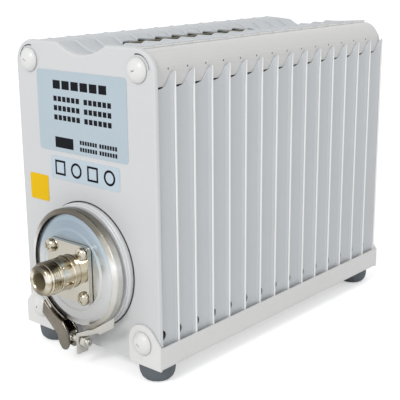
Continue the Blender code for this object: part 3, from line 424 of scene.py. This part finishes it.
def sheet_piece(name, low, high, corner, material):
    """A thin label with rounded corners on the front plate: a plane that is bevelled and drawn out.

    low and high are (x, z) in metres, with heights above the body's lower edge.
    """
    start_fresh()
    x0, z0 = low[0], BODY_LOW + low[1]
    x1, z1 = high[0], BODY_LOW + high[1]
    bpy.ops.mesh.primitive_plane_add(size=1, location=(0, 0, 0))
    piece = bpy.context.object
    piece.name = name
    piece.dimensions = (x1 - x0, z1 - z0, 0)
    piece.rotation_euler = (math.pi / 2, 0, 0)
    piece.location = ((x0 + x1) / 2, PLATE_FACE, (z0 + z1) / 2)
    settle(piece)
    bpy.ops.object.mode_set(mode="EDIT")
    bpy.ops.mesh.select_all(action="SELECT")
    bpy.ops.mesh.bevel(offset=corner, segments=4, affect="VERTICES")
    bpy.ops.object.mode_set(mode="OBJECT")
    draw_out((0, -LABEL_THICKNESS, 0))
    piece.data.materials.append(material)
    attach(piece, "root")


def finish_solid(piece, material, angle=35):
    """Closes what was spun or drawn out, smooths it by angle and hangs it on the part."""
    pick(piece)
    bpy.ops.object.mode_set(mode="EDIT")
    bpy.ops.mesh.select_all(action="SELECT")
    bpy.ops.mesh.remove_doubles(threshold=1e-6)
    bpy.ops.mesh.normals_make_consistent(inside=False)
    bpy.ops.object.mode_set(mode="OBJECT")
    bpy.ops.object.shade_smooth_by_angle(angle=math.radians(angle))
    piece.data.materials.clear()
    piece.data.materials.append(material)
    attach(piece, "root")
    return piece


def drawn_loop(name, points, fill):
    """A closed loop of points, started as a circle with one vertex for each."""
    start_fresh()
    bpy.ops.mesh.primitive_circle_add(vertices=len(points), radius=1, fill_type=fill, location=(0, 0, 0))
    piece = bpy.context.object
    piece.name = name
    for vert, point in zip(piece.data.vertices, points):
        vert.co = point
    return piece


def lathe(name, profile, material, steps=96, start=0.0, sweep=360.0, angle=35):
    """A closed profile of (radius, y) in millimetres from the plate's face, spun about the tank's axis."""
    turn = Matrix.Rotation(math.radians(start), 4, "Y")
    points = []
    for radius, y in profile:
        middle = Vector((0, PLATE_FACE + y / 1000, AXIS_HEIGHT))
        points.append(turn @ Vector((radius / 1000, 0, 0)) + middle)
    piece = drawn_loop(name, points, "NGON" if sweep < 360 else "NOTHING")
    bpy.ops.object.mode_set(mode="EDIT")
    bpy.ops.mesh.select_all(action="SELECT")
    bpy.ops.mesh.spin(
        steps=steps,
        angle=math.radians(sweep),
        use_auto_merge=sweep == 360,
        center=(0, 0, AXIS_HEIGHT),
        axis=(0, 1, 0),
    )
    bpy.ops.object.mode_set(mode="OBJECT")
    return finish_solid(piece, material, angle)


def drawn_piece(name, outline, front, back, bevel, material):
    """An outline of (x, z) in millimetres from the tank's axis, drawn out along Y and bevelled."""
    points = [(x / 1000, PLATE_FACE + front / 1000, AXIS_HEIGHT + z / 1000) for x, z in outline]
    piece = drawn_loop(name, points, "NGON")
    draw_out((0, (back - front) / 1000, 0))
    soften(piece, bevel / 1000)
    return finish_solid(piece, material, 30)


def soften(piece, width):
    """Rounds a piece's sharp edges."""
    pick(piece)
    edge = piece.modifiers.new("soft edges", "BEVEL")
    edge.width = width
    edge.segments = 3
    edge.limit_method = "ANGLE"
    edge.angle_limit = math.radians(35)
    bpy.ops.object.modifier_apply(modifier=edge.name)


def arc_points(radius, start, end, steps):
    """Points of an arc about the origin, from one angle to another in degrees."""
    angles = [math.radians(start + (end - start) * i / steps) for i in range(steps + 1)]
    return [(radius * math.cos(a), radius * math.sin(a)) for a in angles]


def add_disc():
    """The stepped front disc of the resistor section."""
    profile = [
        (3.95, -10.6),
        (18.8, -10.6),
        (19.4, -10.42),
        (20.1, -10.16),
        (23.6, -10.08),
        (24.1, -9.96),
        (24.6, -9.72),
        (26.9, -8.95),
        (27.5, -8.9),
        (27.65, -8.75),
        (27.65, -8.4),
        (25.4, -8.35),
        (25.4, -2.35),
        (3.95, -2.35),
    ]
    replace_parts(lathe("resistor_disc", profile, TURNED, 128, angle=16), "front_disc")


def add_band():
    """The clamp's V-band, and the cheeks, web, angle and tab that close it."""
    profile = [
        (26.75, -10.5),
        (27.0, -10.62),
        (27.5, -10.5),
        (28.9, -9.95),
        (29.25, -9.7),
        (29.35, -9.35),
        (29.35, -6.25),
        (29.25, -5.9),
        (28.9, -5.65),
        (27.2, -4.75),
        (27.1, -5.2),
        (28.3, -5.75),
        (28.5, -6.2),
        (28.5, -9.2),
        (28.2, -9.5),
        (27.0, -9.95),
    ]
    band = lathe("clamp_ring", profile, POLISHED, 150, start=73.0, sweep=326.0)
    front = -11.2
    back = -4.4

    def hung(points):
        """Points below the band, with heights from its lowest side."""
        return [(x, z - 29.5) for x, z in points]

    strap = [(x * 1.012, z * 1.012) for x, z in arc_points(29.3, -140, -107, 10)[1:]]
    cheek = strap + hung(
        [(-4.5, -3.2), (-4.2, -8.2), (-4.9, -10.9), (-6.2, -12.6), (-7.6, -13.1), (-9.2, -12.9)]
        + [(-11.2, -10.7), (-12.6, -6), (-23.2, 2.4)]
    )
    web = hung(
        [(-23.0, 2.8), (-12.4, -5.7), (-11.0, -10.5), (-9.1, -12.6)]
        + [(-8.4, -11.8), (-10, -10), (-11.3, -5.2), (-22.2, 3.8)]
    )
    angle = arc_points(29.35, -59, -73, 6) + hung(
        [(1.6, -1.9), (0.9, -2.6), (0.9, -12.6), (2.5, -12.6), (2.5, -3.5), (9, -1.2), (16.4, 2.2)]
    )
    tab = arc_points(29.3, -63, -55.5, 2) + hung([(27.6, 12.7), (27.0, 7.7), (18.0, 2.0)])
    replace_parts(band, "clamp_band")
    for name, outline, near, far, bevel, material in (
        ("clamp_cheek_front", cheek, front, front + 1.2, 0.25, SHADED_CLAMP_STEEL),
        ("clamp_cheek_rear", cheek, back - 1.2, back, 0.25, SHADED_CLAMP_STEEL),
        ("clamp_web", web, front + 0.3, back - 0.3, 0.2, SHADED_CLAMP_STEEL),
        ("clamp_angle", angle, front + 0.2, back - 0.2, 0.35, STEEL),
        ("clamp_tab", tab, front - 0.1, front + 1.1, 0.3, STEEL),
    ):
        piece = drawn_piece(name, outline, near, far, bevel, material)
        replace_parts(piece, "clamp_band")


def moved(piece, matrix):
    piece.data.transform(matrix)
    piece.data.update()
    return piece


def add_cross_screw():
    """The clamp's cross screw: a shank with a domed end, its trunnion, and a hexagon nut on the angle."""
    depth, drop = 0.00765, 0.0359
    start = Matrix.Translation((0, -PLATE_FACE, -AXIS_HEIGHT))
    seat = Vector((0.0028, PLATE_FACE - depth, AXIS_HEIGHT - drop))
    along = Matrix.Translation(seat) @ Matrix.Rotation(math.radians(-90), 4, "Z") @ start
    shank = [(0.02, -9.2), (1.9, -9.2), (1.9, 3.6), (1.75, 4.1), (1.3, 4.45), (0.02, 4.5)]
    screw = moved(lathe("clamp_bolt", shank, ZINC, 32), along)
    barrel = [(0.02, -2.3), (2.0, -2.3), (2.3, -2.0), (2.3, 2.0), (2.0, 2.3), (0.02, 2.3)]
    pin = lathe("clamp_trunnion", barrel, ZINC, 32)
    moved(pin, Matrix.Translation((-0.0064, -depth, -drop)))
    turns = [math.radians(60 * number + 12) for number in range(6)]
    points = [(seat[0], seat[1] + 0.0033 * math.cos(a), seat[2] + 0.0033 * math.sin(a)) for a in turns]
    nut = drawn_loop("clamp_hexagon", points, "NGON")
    draw_out((0.0029, 0, 0))
    soften(nut, 0.0004)
    finish_solid(nut, ZINC, 30)
    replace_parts(screw, "clamp_screw")
    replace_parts(pin, "clamp_screw")
    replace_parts(nut, "clamp_nut")


def add_barrel():
    """The connector's threaded barrel, a dark sleeve in its bore that paints the bore's shade, and its square
    flange.
    """
    profile = [(4.45, -21.0), (4.45, -30.2), (4.75, -30.5), (5.9, -30.5), (6.6, -30.35), (7.0, -29.95)]
    profile += [(7.15, -29.5), (7.15, -28.9), (6.6, -28.8), (6.6, -28.3)]
    for turn in range(5):
        start = -28.2 + turn * 1.06
        profile += [(6.95, start), (7.85, start + 0.4), (7.85, start + 0.5), (6.95, start + 0.9)]
    profile += [(6.8, -22.8), (6.8, -22.2), (7.6, -22.1), (7.85, -21.9), (7.85, -15.9), (7.7, -15.8)]
    profile += [(7.7, -15.5), (8.05, -15.45), (8.25, -15.2), (8.25, -14.9), (8.05, -14.7), (7.95, -14.6)]
    profile += [(7.95, -13.05)]
    profile += [(3.95, -13.05), (3.95, -17.0), (4.45, -17.0)]
    barrel = lathe("connector_barrel", profile, BARREL, 96)
    sleeve = [(4.42, -29.9), (4.42, -21.5), (4.42, -21.2), (1.75, -21.2), (1.75, -21.6)]
    sleeve += [(4.1, -21.7), (4.1, -29.9)]
    shade_sleeve = lathe("connector_shade_sleeve", sleeve, BORE_SHADE, 48)
    outline = []
    for cx, cz, turn in ((1, 1, 0), (-1, 1, 90), (-1, -1, 180), (1, -1, 270)):
        corner = arc_points(2.2, turn, turn + 90, 5)
        outline += [(cx * 11.9 + x, cz * 11.9 + z) for x, z in corner]
    flange = drawn_piece("connector_flange", outline, -13.1, -10.9, 0.12, NICKEL)
    for piece in (barrel, shade_sleeve, flange):
        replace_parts(piece, "connector_body")


def cross_head(name, profile, cuts, material):
    """A domed head at the tank's axis with a recess in its face: cuts are boxes of (width, height, depth)."""
    head = lathe(name, profile, material, 40)
    top = min(y for _, y in profile) / 1000
    for width, height, depth in cuts:
        start_fresh()
        bpy.ops.mesh.primitive_cube_add(size=1, location=(0, PLATE_FACE + top, AXIS_HEIGHT))
        cutter = bpy.context.object
        cutter.scale = (width / 1000, 2 * depth / 1000, height / 1000)
        settle(cutter)
        pick(head)
        cut = head.modifiers.new("recess", "BOOLEAN")
        cut.operation = "DIFFERENCE"
        cut.object = cutter
        bpy.ops.object.modifier_apply(modifier=cut.name)
        bpy.data.objects.remove(cutter)
    bpy.ops.object.shade_smooth_by_angle(angle=math.radians(35))
    return head


def copy_of(piece, name, shift, turn=0.0):
    """Another of the same piece, with its own mesh, turned about its middle and moved."""
    twin = piece.copy()
    twin.data = piece.data.copy()
    twin.name = name
    bpy.context.scene.collection.objects.link(twin)
    middle = Vector((0, PLATE_FACE, AXIS_HEIGHT))
    spin = Matrix.Rotation(math.radians(turn), 4, "Y")
    moved(twin, Matrix.Translation(middle + Vector(shift)) @ spin @ Matrix.Translation(-middle))
    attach(twin, "root")
    return twin


def add_screws():
    """Pan heads with a cross recess, in the corners of the connector's flange."""
    profile = [(0.02, -16.0), (1.2, -15.9), (2.2, -15.55), (2.9, -14.95), (3.2, -14.3), (3.25, -13.4)]
    profile += [(0.02, -13.4)]
    cross = [(3.6, 0.8, 0.9), (0.8, 3.6, 0.9)]
    head = cross_head("connector_cross_1", profile, cross, SCREW_METAL)
    places = [(-1, -1, 20), (1, -1, -35), (-1, 1, 50), (1, 1, 10)]
    for number, (x, z, turn) in enumerate(places, 1):
        twin = copy_of(head, f"connector_cross_{number}", (x * 0.01075, 0, z * 0.01075), turn)
        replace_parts(twin, f"connector_screw_{number}")
    bpy.data.objects.remove(head)


def add_collar_shadow():
    """A thin dark ring where the tank's collar meets the front plate: painted shadow in the gap there."""
    profile = [(30.25, -0.28), (30.75, -0.28), (30.75, -0.04), (30.25, -0.04)]
    lathe("collar_shadow_ring", profile, DARK_SEAL_AND_SHADOW, 128)


def tip_rise(share):
    """How far a tip's edge has risen at a share of its length."""
    spans = zip(TIP_CURVE, TIP_CURVE[1:])
    (s0, r0), (s1, r1) = next(span for span in spans if share <= span[1][0])
    return r0 + (r1 - r0) * (share - s0) / (s1 - s0)


def add_pans():
    """Each pan again, with slimmer tips on its side flanges, and rolled edges along them in a lighter enamel that
    paints their highlight.
    """
    shoulder = BODY_LOW + TIP_START
    for number in range(1, 16):
        node = f"fin_{number:02d}"
        low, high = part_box(node)
        edge = high[1]
        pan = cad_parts[node].copy()
        pan.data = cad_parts[node].data.copy()
        pan.name = f"pan_{number:02d}"
        bpy.context.scene.collection.objects.link(pan)
        pick(pan)
        bpy.ops.object.mode_set(mode="EDIT")
        bpy.ops.mesh.select_all(action="SELECT")
        bpy.ops.mesh.remove_doubles(threshold=1e-7)
        bpy.ops.object.mode_set(mode="OBJECT")
        for vert in pan.data.vertices:
            x, y, z = vert.co
            if abs(x) > TIP_REACH and z > shoulder + 0.0001:
                share = min(1.0, max(0.0, 1 - (edge - y) / TIP_LENGTH))
                vert.co.z = min(z, shoulder + tip_rise(share))
        bpy.ops.object.shade_smooth_by_angle(angle=math.radians(30))
        pan.data.materials.clear()
        pan.data.materials.append(SHADED_PAN_ENAMEL)
        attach(pan, "root")
        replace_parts(pan, node)
        for side, hand in ((-1, "left"), (1, "right")):
            rolled_edge(f"pan_edge_{number:02d}_{hand}", side, high[0], edge, shoulder)


def rolled_edge(name, side, reach, edge, shoulder):
    """A half-round bead along a pan's free edge, which runs out thin at its tip; its enamel is lighter as a
    painted highlight.
    """
    points = []
    for step in range(12):
        turn = math.tau * step / 12
        x = reach - 0.0001 + 0.0003 * math.cos(turn)
        y = edge - 0.00055 + 0.0006 * math.sin(turn)
        points.append((side * x, y, BODY_LOW + EDGE_FOOT))
    bead = drawn_loop(name, points, "NGON")
    top = shoulder - 0.004
    tip = 0.0112
    draw_out((0, 0, top - BODY_LOW - EDGE_FOOT), (0, 0, tip))
    for vert in bead.data.vertices:
        if vert.co.z > top + 0.001:
            vert.co.x = side * reach + (vert.co.x - side * reach) * 0.3
            vert.co.y = edge + (vert.co.y - edge) * 0.45
    finish_solid(bead, HIGHLIGHT_EDGE_ENAMEL, 60)


def add_seams():
    """Enamel that bridges the seams between the corner rails and the pans' top flanges."""
    inset = 0.0002
    for side, name in ((-1, "left"), (1, "right")):
        low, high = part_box(f"rail_{name}")
        x, z = SEAM_PLACE
        outline = [(-0.0008, -0.0009), (0.003, -0.001), (0.0031, -0.0007), (0.0026, -0.0003)]
        outline.append((-0.0008, -0.0003))
        points = [(side * (x + a), low[1] + inset, BODY_LOW + z + b) for a, b in outline]
        seam = drawn_loop(f"rail_seam_{name}", points, "NGON")
        draw_out((0, high[1] - low[1] - 2 * inset, 0))
        finish_solid(seam, LIT_RAIL_ENAMEL, 40)


def add_rods():
    """Tie rods with domed heads, each with a short driver mark."""
    dome = 2.9
    profile = [(0.02, -dome), (1.6, -2.8), (3.2, -2.35), (4.5, -1.6), (5.2, -0.85), (5.55, -0.25)]
    profile += [(5.55, 0.0), (2.0, 0.0), (2.0, 191.9), (0.02, 191.9)]
    # The heads take the lighter tray enamel, which paints light on them.
    head = cross_head("rod_1", profile, [(0.7, 2.0, 0.8)], LIT_TRAY_ENAMEL)
    for number, turn in enumerate((40, -60, 115, 75), 1):
        low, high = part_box(f"tie_rod_{number}")
        middle = ((low[0] + high[0]) / 2, (low[2] + high[2]) / 2 - AXIS_HEIGHT)
        place = (middle[0], low[1] - PLATE_FACE + dome / 1000, middle[1])
        rod = copy_of(head, f"rod_{number}_head", place, turn)
        for vert in rod.data.vertices:
            if vert.co.y > high[1] - 0.01:
                vert.co.y = high[1]
        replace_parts(rod, f"tie_rod_{number}")
    bpy.data.objects.remove(head)


def add_labels():
    """The bare labels on the front plate, and their plain print."""
    pale = label_sheet("label_pale_blue", screen(176, 190, 199))
    paler = label_sheet("label_paler_blue", screen(186, 200, 210))
    amber = label_sheet("label_amber", screen(228, 184, 0), 0.5)
    ink = label_sheet("label_ink", screen(10, 13, 20), 0.6)
    for material in (amber, ink):
        material.node_tree.nodes["Principled BSDF"].inputs["Specular IOR Level"].default_value = INK_SHEEN
    sheet_piece("label_large", (-0.0310, 0.0935), (0.0290, 0.1317), 0.0018, pale)
    sheet_piece("label_small", (-0.0238, 0.0800), (0.0232, 0.0911), 0.0012, paler)
    sheet_piece("label_square", (-0.0400, 0.0673), (-0.0265, 0.0802), 0.0010, amber)
    ink_blocks("label_title", block_row(-19.6, 123.2, 4.0, [6], 5.0, 1.2), ink)
    ink_blocks("label_words", small_blocks(), ink)
    ink_blocks("label_squares", square_blocks(), ink)
    for name, x in (("left", -5.8), ("right", 16.6)):
        add_printed_ring(f"label_ring_{name}", x, ink)


def block_row(x, z, height, groups, width, gap):
    """A row of equal blocks in groups: groups says how many blocks each one has."""
    blocks = []
    for count in groups:
        for _ in range(count):
            blocks.append((x, z, x + width, z + height))
            x += width + gap
        x += width
    return blocks


def small_blocks():
    """Rows of equal blocks and one plain filled block."""
    blocks = []
    for z in (117.4, 113.0, 108.6):
        blocks += block_row(-19.6, z, 2.4, [6, 6], 2.3, 0.8)
    for z in (98.6, 95.4):
        blocks += block_row(-2.4, z, 1.9, [7, 7], 1.2, 0.5)
    blocks.append((-19.6, 95.4, -7.0, 100.5))
    return blocks


def square_blocks():
    """Two plain square outlines on the small label."""
    blocks = []
    side, line, z = 7.2, 1.0, 82.0
    for x in (-20.6, 1.8):
        far, top = x + side, z + side
        blocks += [(x, z, far, z + line), (x, top - line, far, top)]
        blocks += [(x, z + line, x + line, top - line), (far - line, z + line, far, top - line)]
    return blocks


def add_printed_ring(name, x, material):
    """A plain printed ring on the small label, with its middle at x in millimetres."""
    shift = Matrix.Translation((x / 1000, 0, BODY_LOW + RINGS_MIDDLE - AXIS_HEIGHT))
    ring = [(2.6, -0.25), (3.7, -0.25), (3.7, -0.2), (2.6, -0.2)]
    moved(lathe(name, ring, material, 48), shift)


def ink_blocks(name, blocks, material):
    """Printed blocks of (x, z, x, z) in millimetres on a label, as one thin piece."""
    start_fresh()
    made = []
    for x0, z0, x1, z1 in blocks:
        place = ((x0 + x1) / 2000, PLATE_FACE - 0.0002, BODY_LOW + (z0 + z1) / 2000)
        bpy.ops.mesh.primitive_plane_add(size=1, location=place, rotation=(math.pi / 2, 0, 0))
        block = bpy.context.object
        block.scale = ((x1 - x0) / 1000, (z1 - z0) / 1000, 1)
        made.append(block)
    start_fresh()
    for block in made:
        block.select_set(True)
    piece = made[0]
    bpy.context.view_layer.objects.active = piece
    bpy.ops.object.join()
    piece.name = name
    settle(piece)
    draw_out((0, -INK_THICKNESS, 0))
    finish_solid(piece, material)


def add_floor():
    """A pale floor that only the camera sees a little brighter."""
    start_fresh()
    bpy.ops.mesh.primitive_plane_add(size=6, location=(0, 0, 0))
    floor = bpy.context.object
    floor.name = "floor"
    finish = Finish("floor_white", (0.93, 0.93, 0.93), 0.9)
    finish.set("Emission Color", (1, 1, 1, 1))
    tree = finish.tree
    ray = tree.nodes.new("ShaderNodeLightPath")
    glow = tree.nodes.new("ShaderNodeEmission")
    glow.inputs["Strength"].default_value = 0.42
    both = tree.nodes.new("ShaderNodeAddShader")
    pick = tree.nodes.new("ShaderNodeMixShader")
    out = tree.nodes["Material Output"]
    tree.links.new(finish.shader.outputs[0], both.inputs[0])
    tree.links.new(glow.outputs[0], both.inputs[1])
    tree.links.new(ray.outputs["Is Camera Ray"], pick.inputs[0])
    tree.links.new(finish.shader.outputs[0], pick.inputs[1])
    tree.links.new(both.outputs[0], pick.inputs[2])
    tree.links.new(pick.outputs[0], out.inputs["Surface"])
    floor.data.materials.append(finish.material)


def add_world():
    """A soft pale room, white to the camera and in reflections."""
    world = bpy.data.worlds.new("studio")
    bpy.context.scene.world = world
    world.use_nodes = True
    tree = world.node_tree
    tree.nodes.clear()
    out = tree.nodes.new("ShaderNodeOutputWorld")
    room = tree.nodes.new("ShaderNodeBackground")
    room.inputs["Color"].default_value = (0.985, 0.992, 1.0, 1)
    room.inputs["Strength"].default_value = 0.68
    white = tree.nodes.new("ShaderNodeBackground")
    white.inputs["Color"].default_value = (1, 1, 1, 1)
    white.inputs["Strength"].default_value = 1.0
    ray = tree.nodes.new("ShaderNodeLightPath")
    either = tree.nodes.new("ShaderNodeMath")
    either.operation = "MAXIMUM"
    more = tree.nodes.new("ShaderNodeMath")
    more.operation = "MAXIMUM"
    pick = tree.nodes.new("ShaderNodeMixShader")
    tree.links.new(ray.outputs["Is Camera Ray"], either.inputs[0])
    tree.links.new(ray.outputs["Is Glossy Ray"], either.inputs[1])
    tree.links.new(either.outputs[0], more.inputs[0])
    tree.links.new(ray.outputs["Is Transmission Ray"], more.inputs[1])
    tree.links.new(more.outputs[0], pick.inputs[0])
    tree.links.new(room.outputs[0], pick.inputs[1])
    tree.links.new(white.outputs[0], pick.inputs[2])
    tree.links.new(pick.outputs[0], out.inputs["Surface"])


def turned_to(place, aim):
    """The turn that points a lamp or card from its place to its aim."""
    return (Vector(aim) - Vector(place)).to_track_quat("-Z", "Y").to_euler()


def add_lamp(name, place, size, power):
    light = bpy.data.lights.new(name, "AREA")
    light.size = size
    light.energy = power
    lamp = bpy.data.objects.new(name, light)
    lamp.location = place
    lamp.rotation_euler = turned_to(place, LAMP_AIM)
    bpy.context.scene.collection.objects.link(lamp)


def add_flag(name, place, size, colour, aim):
    """A dark card beside the lamps, which only the reflections in metal show."""
    start_fresh()
    bpy.ops.mesh.primitive_plane_add(size=1, location=place)
    card = bpy.context.object
    card.name = name
    card.scale = (size[0], size[1], 1)
    card.rotation_euler = turned_to(place, aim)
    finish = Finish(name, (0, 0, 0), 1.0)
    finish.set("Specular IOR Level", 0)
    finish.set("Emission Color", (*colour, 1))
    finish.set("Emission Strength", 1.0)
    card.data.materials.append(finish.material)
    card.visible_camera = False
    card.visible_diffuse = False
    card.visible_shadow = False
    card.visible_transmission = False


def add_camera():
    """The camera at the photograph's place, as it was fitted to the edges of the body."""
    yaw = math.radians(42.398)
    pitch = math.radians(15.038)
    roll = math.radians(-0.864)
    ahead = Vector((-math.sin(yaw) * math.cos(pitch), math.cos(yaw) * math.cos(pitch), -math.sin(pitch)))
    right = Vector((math.cos(yaw), math.sin(yaw), 0))
    up = right.cross(ahead)
    across = math.cos(roll) * right + math.sin(roll) * up
    over = -math.sin(roll) * right + math.cos(roll) * up
    view = bpy.data.cameras.new("camera")
    view.sensor_fit = "HORIZONTAL"
    view.sensor_width = SENSOR_WIDTH
    view.lens = FOCAL_PIXELS / PHOTO_WIDTH * SENSOR_WIDTH
    view.shift_x = 0.0568
    view.shift_y = -0.0098
    view.clip_start = 0.01
    eye = bpy.data.objects.new("camera", view)
    turn = Matrix((across, over, -ahead)).transposed().to_4x4()
    place = (0.30585, PLATE_FACE - 0.27190, BODY_LOW + 0.18315)
    eye.matrix_world = Matrix.Translation(place) @ turn
    bpy.context.scene.collection.objects.link(eye)
    bpy.context.scene.camera = eye


add_pans()
add_seams()
add_rods()
add_disc()
add_band()
add_cross_screw()
add_barrel()
add_screws()
add_collar_shadow()
add_labels()
add_floor()
add_world()
add_flag("flag_overhead", (-0.25, 0.1, 1.1), (1.3, 1.1), (0.1, 0.09, 0.07), LAMP_AIM)
add_lamp("key_front", (0.25, -1.25, 0.95), 0.4, 8.5)
add_lamp("fill_side", (1.3, 0.1, 0.9), 0.6, 1.4)
add_camera()

bpy.context.scene.view_settings.view_transform = "Standard"
